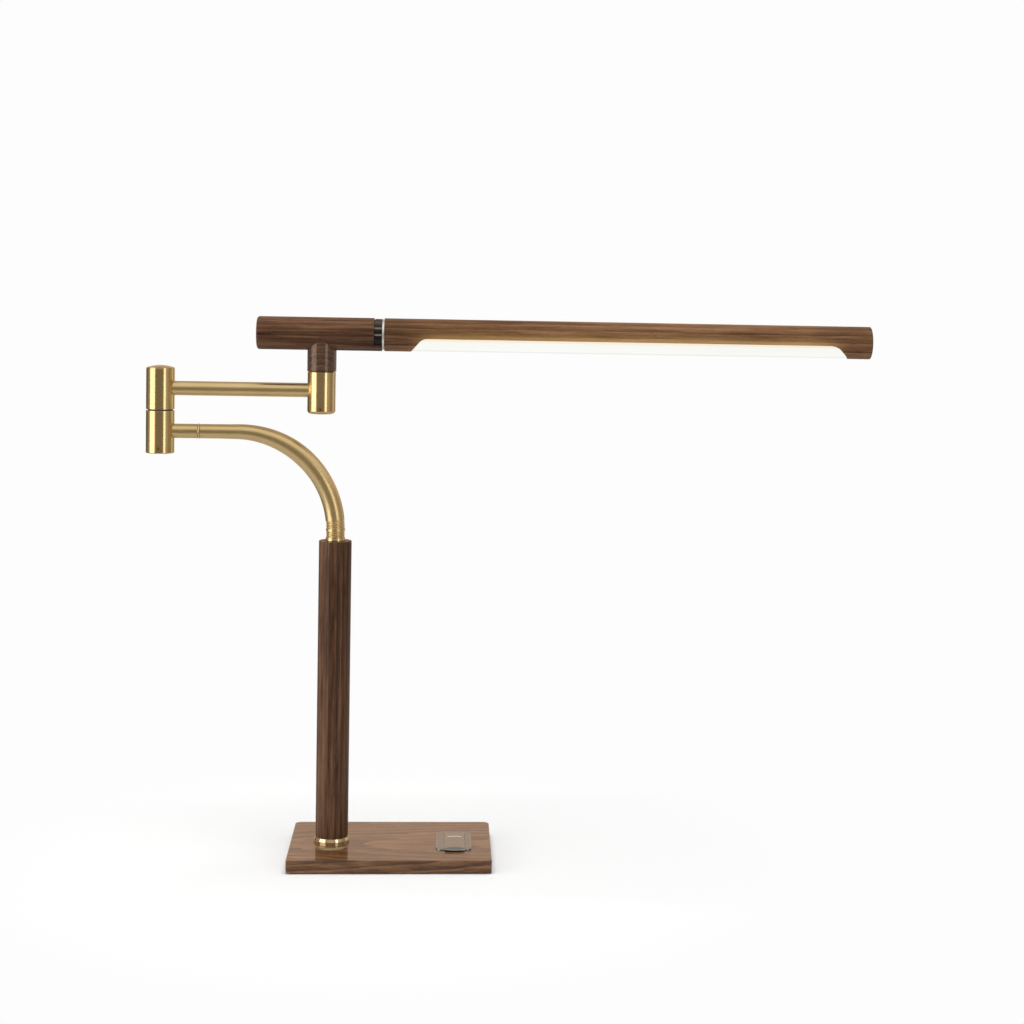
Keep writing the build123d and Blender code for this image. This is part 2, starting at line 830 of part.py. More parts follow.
def pivot_washer():
    """The polished brass washer beside the black ring."""
    edge = brass_washer_length / 6
    ring = round_rod_x(brass_washer_radius, washer_start, head_start, bar_z, edge, edge)
    return ring - rod_x(spindle_radius + running_gap, washer_start, head_start, bar_z)


def light_cut(gap):
    """The space milled from under the light bar, smaller all round by the gap."""
    low = bar_z - 2 * bar_radius
    start = light_start + gap
    foot_z = bar_z - bar_radius - gap
    roof_start = light_roof_start + gap
    roof_z = light_edge_z - gap
    roof_stop = light_roof_stop - gap
    stop = light_stop - gap
    bends = [light_left_radius, light_right_radius]
    roof = FilletPolyline((start, foot_z), (roof_start, roof_z), (roof_stop, roof_z), (stop, foot_z), radius=bends)
    sides = Polyline((stop, foot_z), (stop, low), (start, low), (start, foot_z))
    outline = Plane.XZ * make_face(Curve() + [roof, sides])
    return extrude(outline, 2 * bar_radius, both=True)


def sink_screw_places():
    """The places of the heat sink's screws, each midway between two light-emitting diodes."""
    places = []
    for index in range(sink_screw_count):
        gap_number = round((led_count - 2) * (index + 0.5) / sink_screw_count)
        places.append((led_x(gap_number) + led_x(gap_number + 1)) / 2)
    return places


def led_x(index):
    """The place of one diode along the board."""
    first = board_start + led_end_margin
    last = board_stop - led_end_margin
    return first + (last - first) * index / (led_count - 1)


def head_housing():
    """The round walnut light bar, with its channel, pocket and bores."""
    wood = round_rod_x(bar_radius, head_start, head_stop, bar_z, head_edge_radius / 3, head_edge_radius)
    wood -= light_cut(0.0)
    channel_start = nut_face + nut_pocket_length
    wood -= box(
        (channel_start, board_stop + sink_margin),
        (-channel_half_width, channel_half_width),
        (light_edge_z, channel_top),
    )
    wood -= rod_x(nut_pocket_radius, nut_face, channel_start, bar_z)
    wood -= rod_x(spindle_radius + running_gap, head_start, nut_face, bar_z)
    for x in sink_screw_places():
        wood -= rod_z(screw_radius + thread_gap, channel_top, sink_screw_top, x)
    return wood


def head_spring_washer():
    """The sprung washer behind the light bar's lock nut."""
    bore = spindle_radius + thread_gap
    return pipe_x(spring_washer_radius, bore, nut_face, nut_face + spring_washer_thickness, bar_z)


def lock_nuts():
    """The two nuts that set how stiffly the wrist and the light bar turn."""
    wrist_nut = nut_z(wrist_nut_bottom(), lock_nut_thickness, wrist_x)
    start = nut_face + spring_washer_thickness
    block = Pos(start, 0, bar_z) * Rot(0, 90, 0) * hexagon(nut_across_flats, lock_nut_thickness)
    bore = rod_x(spindle_radius + thread_gap, start, start + lock_nut_thickness, bar_z)
    return Compound(children=[wrist_nut, block - bore])


def heat_sink():
    """The flat aluminium bar that cools the diodes."""
    half_width = channel_half_width - heat_sink_gap
    limits_y = (-half_width, half_width)
    metal = box((board_start, board_stop), limits_y, (sink_bottom, channel_top))
    for x in sink_screw_places():
        metal -= rod_z(screw_radius + thread_gap, sink_bottom, channel_top, x)
    return metal


def led_board():
    """The board that carries the diodes, with the clamp block for the lead."""
    limits_y = (-board_half_width, board_half_width)
    board = box((board_start, board_stop), limits_y, (board_bottom, sink_bottom))
    for x in sink_screw_places():
        board -= rod_z(screw_radius + thread_gap, board_bottom, sink_bottom, x)
    limits_x = (board_start, board_start + terminal_length)
    limits_y = (-terminal_half_width, terminal_half_width)
    return board + box(limits_x, limits_y, (board_bottom - terminal_height, board_bottom))


def leds():
    """The row of diodes, facing down."""
    row = []
    for index in range(led_count):
        x = led_x(index)
        limits_x = (x - led_length / 2, x + led_length / 2)
        limits_y = (-led_width / 2, led_width / 2)
        row.append(box(limits_x, limits_y, (board_bottom - led_height, board_bottom)))
    return Compound(children=row)


def sink_screws():
    """The screws that hold board and heat sink to the wood."""
    screws = []
    for x in sink_screw_places():
        head_bottom = board_bottom - screw_head_height
        screw = rod_z(screw_radius, board_bottom, sink_screw_top, x)
        screw += rod_z(screw_head_radius, head_bottom, board_bottom, x)
        screw -= Pos(x, 0, head_bottom) * hexagon(screw_head_radius, drive_depth)
        screws.append(screw)
    return Compound(children=screws)


def diffuser():
    """The opal cover under the diodes, hollow, with two legs that stand in the channel."""
    outer_radius = bar_radius - diffuser_inset
    inner_radius = outer_radius - diffuser_wall
    outer = rod_x(outer_radius, head_start, head_stop, bar_z) & light_cut(diffuser_gap)
    inner = rod_x(inner_radius, head_start, head_stop, bar_z) & light_cut(diffuser_gap + diffuser_wall)
    leg_outside = channel_half_width - heat_sink_gap
    leg_inside = leg_outside - diffuser_leg_thickness
    limits_x = (board_start, board_stop)
    mouth = box(limits_x, (-leg_inside, leg_inside), (light_edge_z - 2 * diffuser_wall, light_edge_z))
    shell = outer - inner - mouth
    for side in (-1, 1):
        limits_y = sorted((side * leg_inside, side * leg_outside))
        shell += box(limits_x, limits_y, (light_edge_z - diffuser_wall, sink_bottom))
    return shell


def bezel_pin_places():
    """The places of the two pins that hold the bezel."""
    x = bezel_left + bezel_left_rail / 3
    return [(x, bezel_front + bezel_corner_radius * 2), (x, bezel_back - bezel_corner_radius * 2)]


def switch_bezel():
    """The satin metal plate round the button, open at its front."""
    middle = ((bezel_left + bezel_right) / 2, (bezel_front + bezel_back) / 2)
    outline = RectangleRounded(bezel_width, bezel_depth, bezel_corner_radius)
    metal = Pos(*middle, base_top) * extrude(outline, bezel_thickness)
    metal = fillet(metal.faces().sort_by(Axis.Z)[-1].edges(), bezel_edge_radius)
    limits_x = (button_left - button_gap, button_left + button_width + button_gap)
    opening_back = bezel_back - bezel_back_rail
    metal -= box(limits_x, (bezel_front - bezel_depth, opening_back), (base_top, bezel_top))
    for x, y in bezel_pin_places():
        metal += rod_z(bezel_pin_radius, base_top - bezel_pin_length, base_top, x, y)
    return metal


def bow_radius(bow):
    """The radius that bows an edge as wide as the button by a given amount."""
    return (button_width**2 / 4 + bow**2) / (2 * bow)


def button_crown_form():
    """The long cylinder whose top is the button's crown."""
    radius = bow_radius(button_crown)
    return rod_y(radius, button_front, button_back, button_x, button_top - radius)


def button_block(base):
    """The button's top part: level, then sloping down to a bowed front lip."""
    clear = button_lip_drop
    corners = [(button_back, base), (button_back, button_top + clear)]
    corners += [(bezel_front + button_nose, button_top + clear)]
    corners += [(button_front, button_top - button_lip_drop), (button_front, base)]
    side = Plane.YZ * make_face(Polyline(*corners, close=True))
    block = Pos(button_x, 0, 0) * extrude(side, button_width / 2, both=True)
    radius = bow_radius(button_nose_bow)
    bow = rod_z(radius, base, button_top + clear, button_x, button_front + radius)
    return block & bow & button_crown_form()


def button_cap():
    """The button, crowned, hollow below, with a flange that stops it under the bezel."""
    right = button_left + button_width
    base = base_top + button_travel + button_gap
    cap = button_block(base)
    upper_edges = cap.edges().filter_by_position(Axis.Z, base + button_crown, button_top)
    top_edges = upper_edges.filter_by(Axis.Z, reverse=True)
    cap = fillet(top_edges, button_edge_radius)
    skirt_limits = ((button_left, right), (skirt_front, button_back))
    cap += box(*skirt_limits, (skirt_bottom, base))
    flange_x = (button_left - button_flange, right + button_flange)
    flange_y = (skirt_front, button_back + button_flange)
    flange_top = base_top - running_gap
    cap += box(flange_x, flange_y, (skirt_bottom, flange_top))
    hollow_x = (button_left + button_wall, right - button_wall)
    hollow_y = (skirt_front + button_wall, button_back - button_wall)
    ceiling = button_top - button_crown - button_wall
    cap -= box(hollow_x, hollow_y, (skirt_bottom, ceiling))
    press_half = plunger_radius
    press_bottom = board_top + tact_height + plunger_height + button_travel + button_gap
    cap += rod_z(press_half, press_bottom, ceiling + button_wall / 2, button_x, switch_y)
    return cap - button_window_form(thread_gap)


def button_window_form(gap):
    """The slim window in the button's top."""
    half = window_length / 2 + gap
    limits_y = (button_back - window_back - gap, button_back - window_back + window_width + gap)
    limits_z = (button_top - window_depth - gap, button_top + button_travel)
    return box((button_x - half, button_x + half), limits_y, limits_z)


def button_window():
    """The pale window that glows in the button."""
    return button_window_form(0.0) & button_crown_form()


def switch_housing():
    """The plastic tray that stands on the cover and guides the button."""
    gap = running_gap
    limits_x = (well_left + gap, well_right - gap)
    limits_y = (well_front + gap, well_back - gap)
    tray = box(limits_x, limits_y, (cover_top, skirt_bottom - button_travel - button_gap))
    hollow_x = (limits_x[0] + housing_wall, limits_x[1] - housing_wall)
    hollow_y = (limits_y[0] + housing_wall, limits_y[1] - housing_wall)
    return tray - box(hollow_x, hollow_y, (cover_top + housing_floor, base_top))


def switch_board():
    """The small board in the switch's tray, with the push contact on it."""
    inset = housing_wall + button_gap
    limits_x = (well_left + inset, well_right - inset)
    limits_y = (well_front + inset, well_back - inset)
    board = box(limits_x, limits_y, (cover_top + housing_floor, board_top))
    half = tact_size / 2
    body_top = board_top + tact_height
    body_x = (button_x - half, button_x + half)
    board += box(body_x, (switch_y - half, switch_y + half), (board_top, body_top))
    return board + rod_z(plunger_radius, body_top, body_top + plunger_height, button_x, switch_y)


def button_springs():
    """The two coil springs that lift the button."""
    ceiling = button_top - button_crown - button_wall
    height = ceiling - board_top - spring_wire
    pitch = height / spring_turns
    coil_path = Helix(pitch, height, spring_radius)
    start = Plane(origin=coil_path @ 0, z_dir=coil_path % 0)
    coil = sweep(start * Circle(spring_wire / 2), path=coil_path, is_frenet=True)
    springs = []
    for side in (-1, 1):
        place = Pos(button_x, switch_y + side * spring_spread, board_top + spring_wire / 2)
        springs.append(place * coil)
    return Compound(children=springs)


def board_screw_places():
    """The places of the control board's two screws."""
    x = driver_left + board_screw_inset
    half = driver_depth / 2 - board_screw_inset
    return [(x, -half), (x, half)]


def driver_board():
    """The dimmer's circuit board, screwed to the pocket's roof."""
    limits_x = (driver_left, driver_left + driver_width)
    limits_y = (-driver_depth / 2, driver_depth / 2)
    board = box(limits_x, limits_y, (pocket_top - board_thickness, pocket_top))
    for x, y in board_screw_places():
        board -= rod_z(small_screw_radius + thread_gap, pocket_top - board_thickness, pocket_top, x, y)
    return board


def driver_parts():
    """The coil, two capacitors, two chips and the lead's terminal on the dimmer board."""
    face = pocket_top - board_thickness
    right = driver_left + driver_width
    coil = rod_z(coil_radius, face - coil_height, face, right - 2 * coil_radius, 2 * coil_radius)
    parts = [coil]
    for index in (0, 1):
        y = -(2 * index + 2) * 2 * capacitor_radius / 2 - capacitor_radius / 2
        start = right - capacitor_length - board_screw_inset
        can = rod_x(capacitor_radius, start, start + capacitor_length, face - capacitor_radius, y)
        parts.append(can)
    for index in (0, 1):
        low_x = driver_left + 2 * board_screw_inset
        low_y = driver_depth / 2 - (index + 1) * (chip_size + board_screw_inset)
        limits_x = (low_x, low_x + chip_size)
        parts.append(box(limits_x, (low_y, low_y + chip_size), (face - chip_height, face)))
    limits_x = (driver_left, driver_left + terminal_length)
    lead_top = cover_top + 3 * lead_radius
    terminal_bottom = min(lead_top, face) - 3 * lead_radius + button_gap
    limits_y = (-terminal_half_width, terminal_half_width)
    parts.append(box(limits_x, limits_y, (terminal_bottom, face)))
    return Compound(children=parts)


def board_screws():
    """The two small screws of the dimmer board."""
    screws = []
    for x, y in board_screw_places():
        face = pocket_top - board_thickness
        screw = rod_z(small_screw_radius, face, pocket_top + board_screw_grip, x, y)
        screw += rod_z(small_head_radius, face - small_head_height, face, x, y)
        screw -= Pos(x, y, face - small_head_height) * hexagon(small_head_radius, drive_depth)
        screws.append(screw)
    return Compound(children=screws)


def base_lead():
    """The lead from the dimmer board, up the post and along the neck to the elbow."""
    low = cover_top + lead_radius + button_gap / 2
    points = [
        (driver_left, 0, low),
        (post_x, 0, low),
        (post_x, 0, stub_z),
        (elbow_x, 0, stub_z),
        (elbow_x, 0, elbow_middle + elbow_washer_thickness / 2),
    ]
    return lead(points, [lead_base_bend, bend_radius, lead_knuckle_bend])


def arm_lead():
    """The lead inside the upper arm."""
    points = [
        (elbow_x, 0, elbow_middle + elbow_washer_thickness / 2),
        (elbow_x, 0, arm_z),
        (wrist_x, 0, arm_z),
        (wrist_x, 0, wrist_top + wrist_washer_thickness / 2),
    ]
    return lead(points, [lead_knuckle_bend, lead_knuckle_bend])


def tee_lead():
    """The lead inside the tee."""
    points = [
        (wrist_x, 0, wrist_top + wrist_washer_thickness / 2),
        (wrist_x, 0, bar_z),
        (bar_end, 0, bar_z),
    ]
    return lead(points, [lead_knuckle_bend])


def head_lead():
    """The lead from the pivot to the diode board."""
    return rod_x(lead_radius, bar_end, board_start, bar_z)


pieces = {
    "base_plate": base_plate(),
    "base_cover": base_cover(),
    "base_pad": base_pad(),
    "cover_screws": cover_screws(),
    "ballast": ballast(),
    "cord_gland": cord_gland(),
    "clamp_washer": clamp_washer(),
    "clamp_nut": clamp_nut(),
    "tie_rod": tie_rod(),
    "post_collar": post_collar(),
    "post": post(),
    "post_ferrule": post_ferrule(),
    "neck_coupling": neck_coupling(),
    "curved_neck": curved_neck(),
    "seam_sleeve": seam_sleeve(),
    "stub_tube": stub_tube(),
    "lower_elbow": lower_elbow(),
    "lower_elbow_plug": knuckle_plug(elbow_x, elbow_bottom),
    "lower_elbow_grub": grub_screw(elbow_x, elbow_bottom),
    "elbow_spindle": elbow_spindle(),
    "elbow_nuts": elbow_nuts(),
    "elbow_spring_washer": elbow_spring_washer(),
    "elbow_washer": elbow_washer(),
    "base_lead": base_lead(),
    "switch_bezel": switch_bezel(),
    "switch_housing": switch_housing(),
    "switch_board": switch_board(),
    "button_springs": button_springs(),
    "driver_board": driver_board(),
    "driver_parts": driver_parts(),
    "board_screws": board_screws(),
    "button_cap": button_cap(),
    "button_window": button_window(),
    "upper_elbow": upper_elbow(),
    "elbow_cap": elbow_cap(),
    "arm_tube": arm_tube(),
    "wrist": wrist(),
    "wrist_plug": knuckle_plug(wrist_x, wrist_bottom),
    "wrist_grub": grub_screw(wrist_x, wrist_bottom),
    "arm_lead": arm_lead(),
    "wrist_washer": wrist_washer(),
    "wrist_spring_washer": wrist_spring_washer(),
    "wrist_spindle": wrist_spindle(),
    "stem": stem(),
    "stem_insert": stem_insert(),
    "tee_bar": tee_bar(),
    "bar_insert": bar_insert(),
    "head_spindle": head_spindle(),
    "lock_nuts": lock_nuts(),
    "tee_lead": tee_lead(),
    "pivot_ring": pivot_ring(),
    "pivot_washer": pivot_washer(),
    "head_housing": head_housing(),
    "heat_sink": heat_sink(),
    "head_spring_washer": head_spring_washer(),
    "led_board": led_board(),
    "leds": leds(),
    "sink_screws": sink_screws(),
    "diffuser": diffuser(),
    "head_lead": head_lead(),
}

os.makedirs("parts", exist_ok=True)
for name, shape in pieces.items():
    export_step(shape, f"parts/{name}.step")
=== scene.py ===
import math

import bmesh
import bpy
from mathutils import Matrix, Vector

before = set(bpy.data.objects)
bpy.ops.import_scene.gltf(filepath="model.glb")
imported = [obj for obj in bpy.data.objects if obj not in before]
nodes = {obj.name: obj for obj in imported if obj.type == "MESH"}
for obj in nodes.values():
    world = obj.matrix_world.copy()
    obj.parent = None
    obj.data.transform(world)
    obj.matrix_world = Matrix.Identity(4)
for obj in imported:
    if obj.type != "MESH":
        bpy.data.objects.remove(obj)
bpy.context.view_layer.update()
print("frame loaded,", len(nodes), "nodes")


# camera

cameraLook = {
    "place": (0.03865, -1.84981, 0.53659),
    "turnRight": 4.035,    # degrees from straight ahead
    "tiltDown": 3.310,
    "roll": 1.119,
    "lens": 70.63,         # mm on a 36 mm sensor
    "shiftRight": -0.0672,
    "shiftUp": -0.1134,
}


def makeCamera(look):
    yaw = math.radians(look["turnRight"])
    pitch = math.radians(look["tiltDown"])
    roll = math.radians(look["roll"])
    ahead = Vector((math.sin(yaw) * math.cos(pitch), math.cos(yaw) * math.cos(pitch), -math.sin(pitch)))
    level = Vector((math.cos(yaw), -math.sin(yaw), 0))
    upright = level.cross(ahead)
    right = level * math.cos(roll) + upright * math.sin(roll)
    up = upright * math.cos(roll) - level * math.sin(roll)
    data = bpy.data.cameras.new("camera")
    data.lens = look["lens"]
    data.sensor_width = 36
    data.shift_x = look["shiftRight"]
    data.shift_y = look["shiftUp"]
    camera = bpy.data.objects.new("camera", data)
    bpy.context.collection.objects.link(camera)
    turn = Matrix((right, up, -ahead)).transposed().to_4x4()
    camera.matrix_world = Matrix.Translation(look["place"]) @ turn
    bpy.context.scene.camera = camera


makeCamera(cameraLook)
print("camera placed")


# material helpers

def startMaterial(name):
    material = bpy.data.materials.new(name)
    material.use_nodes = True
    tree = material.node_tree
    shader = tree.nodes["Principled BSDF"]
    return material, tree, shader


def node(tree, kind, inputs=None, **settings):
    made = tree.nodes.new(kind)
    for key, value in settings.items():
        setattr(made, key, value)
    for key, value in (inputs or {}).items():
        made.inputs[key].default_value = value
    return made


def wire(tree, source, output, target, entry):
    tree.links.new(source.outputs[output], target.inputs[entry])


def compute(tree, operation, *values):
    made = node(tree, "ShaderNodeMath", operation=operation)
    for place, value in enumerate(values):
        if isinstance(value, (int, float)):
            made.inputs[place].default_value = value
        else:
            tree.links.new(value, made.inputs[place])
    return made.outputs[0]


def ramp(tree, factor, stops):
    made = node(tree, "ShaderNodeValToRGB")
    points = made.color_ramp.elements
    while len(points) < len(stops):
        points.new(0.5)
    for point, (place, colour) in zip(points, stops):
        point.position = place
        point.color = (*colour, 1)
    tree.links.new(factor, made.inputs["Fac"])
    return made.outputs["Color"]


def grey(level):
    return (level, level, level)


def blendColours(tree, factor, first, second, kind="MIX"):
    made = node(tree, "ShaderNodeMix", data_type="RGBA", blend_type=kind)
    for entry, value in (("Factor", factor), ("A", first), ("B", second)):
        socket = [s for s in made.inputs if s.name == entry and s.enabled][0]
        if isinstance(value, (int, float)):
            socket.default_value = value
        elif isinstance(value, tuple):
            socket.default_value = (*value, 1)
        else:
            tree.links.new(value, socket)
    return [s for s in made.outputs if s.enabled][0]


def smoothBetween(tree, value, low, high):
    limits = {"From Min": low, "From Max": high}
    made = node(tree, "ShaderNodeMapRange", limits, interpolation_type="SMOOTHSTEP")
    tree.links.new(value, made.inputs["Value"])
    return made.outputs["Result"]


def scaledPlace(tree, scale, move=(0, 0, 0), tilt=(0, 0, 0)):
    place = node(tree, "ShaderNodeTexCoord")
    tilted = node(tree, "ShaderNodeMapping", {"Rotation": tuple(math.radians(angle) for angle in tilt)})
    wire(tree, place, "Object", tilted, "Vector")
    mapping = node(tree, "ShaderNodeMapping", {"Location": move, "Scale": scale})
    wire(tree, tilted, "Vector", mapping, "Vector")
    return mapping.outputs["Vector"]


def noise(tree, vector, detail, rough, distortion=0.0):
    made = node(tree, "ShaderNodeTexNoise", {
        "Scale": 1.0, "Detail": detail, "Roughness": rough, "Distortion": distortion,
    })
    tree.links.new(vector, made.inputs["Vector"])
    return made.outputs["Fac"]


def along(axis, lengthwise, across):
    return tuple(lengthwise if i == axis else across for i in range(3))


def between(tree, axis, low, high):
    # 0 below low and 1 above high, in metres along one of the frame's axes
    place = node(tree, "ShaderNodeTexCoord")
    split = node(tree, "ShaderNodeSeparateXYZ")
    wire(tree, place, "Object", split, "Vector")
    return smoothBetween(tree, split.outputs[axis], low, high)


def bump(tree, shader, height, depth, entry="Normal"):
    made = node(tree, "ShaderNodeBump", {"Strength": 1.0, "Distance": depth})
    tree.links.new(height, made.inputs["Height"])
    wire(tree, made, "Normal", shader, entry)
    return made


# walnut: growth rings round a tree axis beside the piece, streaks and open pores along the grain

walnutLook = {
    # lumps per metre along the grain and across it
    "waverScale": (5, 16),
    "wideScale": (7, 105),
    "narrowScale": (22, 520),
    "fibreScale": (60, 2600),
    "poreScale": (170, 3400),
    "wavy": 0.3,                    # how much the narrow streaks bend
    "stretch": 14,                  # how much longer the rings' figure is along the grain
    "tilt": (0, 0, 0),              # of the rings' axis, in degrees
    "poreTone": (0.45, 0.38, 0.34),     # what a pore leaves of the tone
    "poreShare": 0.7,
    "poreLimits": (0.60, 0.68),     # noise level where a pore starts, and where it is full
    "poreDull": 0.15,               # how much rougher a pore is
    "streakDull": 0.16,             # how much rougher a light streak is than a dark one
    "shineTint": (1, 1, 1),
    "relief": 0.00006,
    "openGrain": False,             # whether the relief shows in the lacquer too
    "toneAndLightShifts": [],                   # axis, from, to, and what the tone is multiplied by before from; used both for tone and for painted light
}


def walnut(name, changes):
    look = dict(walnutLook, **changes)
    material, tree, shader = startMaterial(name)
    axis = look["grain"]

    def layer(scale, detail, rough, distortion=0.0):
        vector = scaledPlace(tree, along(axis, *look[scale]), look["move"])
        return noise(tree, vector, detail, rough, distortion)

    # growth rings
    waver = layer("waverScale", 2, 0.5)
    rings = node(tree, "ShaderNodeTexWave", {
        "Scale": look["rings"], "Distortion": look["waver"], "Detail": 2.0,
        "Detail Scale": 1.2, "Detail Roughness": 0.6,
    }, wave_type="RINGS", rings_direction="XYZ"[axis], wave_profile="SAW")
    heartPlace = scaledPlace(tree, along(axis, 1 / look["stretch"], 1), look["heart"], look["tilt"])
    tree.links.new(heartPlace, rings.inputs["Vector"])
    # streaks, from hand-wide bands to fibre
    wide = layer("wideScale", 2, 0.55, 0.4)
    narrow = layer("narrowScale", 3, 0.6, look["wavy"])
    fibre = layer("fibreScale", 2, 0.6)
    shares = [look[key] for key in ("ringShare", "wideShare", "narrowShare", "fibreShare", "waverShare")]
    layers = (rings.outputs["Fac"], wide, narrow, fibre, waver)
    parts = [compute(tree, "MULTIPLY", level, share) for level, share in zip(layers, shares)]
    tone = parts[0]
    for part in parts[1:]:
        tone = compute(tree, "ADD", tone, part)
    tone = compute(tree, "DIVIDE", tone, sum(shares))
    spread = look["spread"]
    colour = ramp(tree, tone, [
        (0.50 - spread, look["dark"]), (0.50, look["middle"]), (0.50 + spread, look["light"]),
    ])
    # pores: short dark lines
    pores = layer("poreScale", 1, 0.5)
    poreFrom, poreTo = look["poreLimits"]
    poreMask = ramp(tree, pores, [(poreFrom, grey(0)), (poreTo, grey(1))])
    poreDark = compute(tree, "MULTIPLY", poreMask, look["poreShare"])
    shade = blendColours(tree, poreDark, colour, look["poreTone"], "MULTIPLY")
    # tone changes along an axis, some of them painted light or painted highlight
    for shiftAxis, low, high, share in look["toneAndLightShifts"]:
        brightness = compute(tree, "MULTIPLY_ADD", between(tree, shiftAxis, low, high), 1 - share, share)
        shade = blendColours(tree, 1.0, shade, brightness, "MULTIPLY")
    tree.links.new(shade, shader.inputs["Base Color"])
    # finish
    streakDull = look["streakDull"]
    dull = compute(tree, "ADD", compute(tree, "MULTIPLY", narrow, streakDull), look["rough"] - streakDull / 2)
    dull = compute(tree, "ADD", dull, compute(tree, "MULTIPLY", poreMask, look["poreDull"]))
    tree.links.new(dull, shader.inputs["Roughness"])
    shader.inputs["Specular IOR Level"].default_value = look["shine"]
    shader.inputs["Coat Weight"].default_value = look["lacquer"]
    shader.inputs["Coat Roughness"].default_value = look["lacquerRough"]
    shader.inputs["Specular Tint"].default_value = (*look["shineTint"], 1)
    relief = compute(tree, "SUBTRACT", compute(tree, "MULTIPLY", fibre, 0.5), poreMask)
    grain = bump(tree, shader, relief, look["relief"])
    if look["openGrain"]:
        wire(tree, grain, "Normal", shader, "Coat Normal")
    return material, tree, shader


postWood = {
    "grain": 2, "heart": (0.094, 0.046, 0.0), "move": (3.1, 1.7, 0.4), "rings": 60.0, "waver": 2.2,
    "ringShare": 0.25, "wideShare": 0.8, "narrowShare": 0.8, "fibreShare": 0.3, "waverShare": 0.4,
    "rough": 0.36, "shine": 0.12, "lacquer": 0.08, "lacquerRough": 0.25, "spread": 0.09,
    "dark": (0.045, 0.019, 0.009), "middle": (0.098, 0.045, 0.022), "light": (0.170, 0.086, 0.046),
    "toneAndLightShifts": [(0, -0.067, -0.062, 1.16)],         # painted highlight from the left lamp: lighter at its left edge
}
stemWood = {
    "grain": 0, "heart": (0.0, 0.05, -0.39), "move": (0.3, 2.2, 1.4), "rings": 60.0, "waver": 2.0,
    "ringShare": 0.25, "wideShare": 0.6, "narrowShare": 0.8, "fibreShare": 0.3, "waverShare": 0.4,
    "rough": 0.13, "shine": 1.0, "lacquer": 0.3, "lacquerRough": 0.06, "spread": 0.10,
    "openGrain": True, "relief": 0.00007, "shineTint": (1.0, 0.72, 0.56),
    "dark": (0.027, 0.011, 0.005), "middle": (0.064, 0.028, 0.013), "light": (0.125, 0.062, 0.032),
}
teeWood = {
    "grain": 0, "heart": (0.0, 0.05, -0.41), "move": (1.3, 0.7, 2.4), "rings": 60.0, "waver": 2.5,
    "ringShare": 0.30, "wideShare": 0.7, "narrowShare": 0.9, "fibreShare": 0.4, "waverShare": 0.4,
    "rough": 0.46, "shine": 0.12, "lacquer": 0.0, "lacquerRough": 0.3, "spread": 0.10,
    "dark": (0.038, 0.015, 0.007), "middle": (0.096, 0.044, 0.022), "light": (0.172, 0.086, 0.046),
    "toneAndLightShifts": [(0, -0.030, -0.075, 0.80)],         # darker near the ring
}
headWood = {
    "grain": 0, "heart": (0.0, 0.06, -0.40), "move": (5.3, 2.7, 1.1), "rings": 50.0, "waver": 2.5,
    "ringShare": 0.30, "wideShare": 0.7, "narrowShare": 0.9, "fibreShare": 0.4, "waverShare": 0.4,
    "rough": 0.46, "shine": 0.12, "lacquer": 0.0, "lacquerRough": 0.3, "spread": 0.10,
    "dark": (0.078, 0.034, 0.014), "middle": (0.153, 0.074, 0.033), "light": (0.235, 0.124, 0.062),
    # darker at both ends; lighter towards the strip is painted light from the strip
    "toneAndLightShifts": [(0, -0.004, 0.030, 0.64), (0, 0.400, 0.370, 0.82), (2, 0.478, 0.491, 1.35)],
}
baseWood = {
    "grain": 0, "heart": (0.0, 0.012, 0.070), "tilt": (0, 3.5, 1.0), "move": (2.3, 4.7, 0.2), "rings": 60.0,
    "waver": 5.0, "stretch": 6, "narrowScale": (30, 310), "wavy": 0.6,
    "ringShare": 0.50, "wideShare": 0.40, "narrowShare": 1.1, "fibreShare": 0.5, "waverShare": 0.4,
    "rough": 0.38, "shine": 0.12, "lacquer": 1.0, "lacquerRough": 0.04, "spread": 0.09,
    "dark": (0.062, 0.024, 0.008), "middle": (0.134, 0.057, 0.019), "light": (0.225, 0.105, 0.040),
}


# metals

def brushed(name, look):
    material, tree, shader = startMaterial(name)
    axis = look["lines"]          # the direction that the brush marks run in
    marks = noise(tree, scaledPlace(tree, along(axis, look["marksAlong"], look["marksAcross"])), 3, 0.65)
    cloud = noise(tree, scaledPlace(tree, grey(34)), 2, 0.5)
    mixed = compute(tree, "ADD", compute(tree, "MULTIPLY", marks, 0.5), compute(tree, "MULTIPLY", cloud, 0.5))
    colour = ramp(tree, mixed, [(0.32, look["dark"]), (0.68, look["light"])])
    tree.links.new(colour, shader.inputs["Base Color"])
    shader.inputs["Metallic"].default_value = 1.0
    rough = compute(tree, "ADD", compute(tree, "MULTIPLY", marks, look["roughSpread"]),
                    look["rough"] - look["roughSpread"] / 2)
    tree.links.new(rough, shader.inputs["Roughness"])
    bump(tree, shader, marks, look["relief"])
    return material


brassTube = {
    "lines": 0, "marksAlong": 90, "marksAcross": 3200,
    "rough": 0.32, "roughSpread": 0.10, "relief": 0.000004,
    "dark": (0.72, 0.52, 0.24), "light": (0.84, 0.63, 0.32),
}
brassKnuckle = dict(brassTube, lines=2, marksAlong=2600, marksAcross=160, rough=0.17)
brassPolished = dict(brassTube, rough=0.07, roughSpread=0.04, relief=0.000001,
                     dark=(0.80, 0.60, 0.33), light=(0.88, 0.70, 0.42))
washerPale = dict(brassPolished, rough=0.45, dark=(0.98, 0.93, 0.84), light=(1.0, 0.97, 0.90))
brassDark = {
    "lines": 2, "marksAlong": 90, "marksAcross": 2400,
    "rough": 0.35, "roughSpread": 0.12, "relief": 0.000004,
    "dark": (0.40, 0.24, 0.09), "light": (0.52, 0.34, 0.15),
}
nickelSatin = {
    "lines": 0, "marksAlong": 120, "marksAcross": 3600,
    "rough": 0.30, "roughSpread": 0.10, "relief": 0.000004,
    "dark": (0.34, 0.33, 0.31), "light": (0.44, 0.43, 0.40),
}
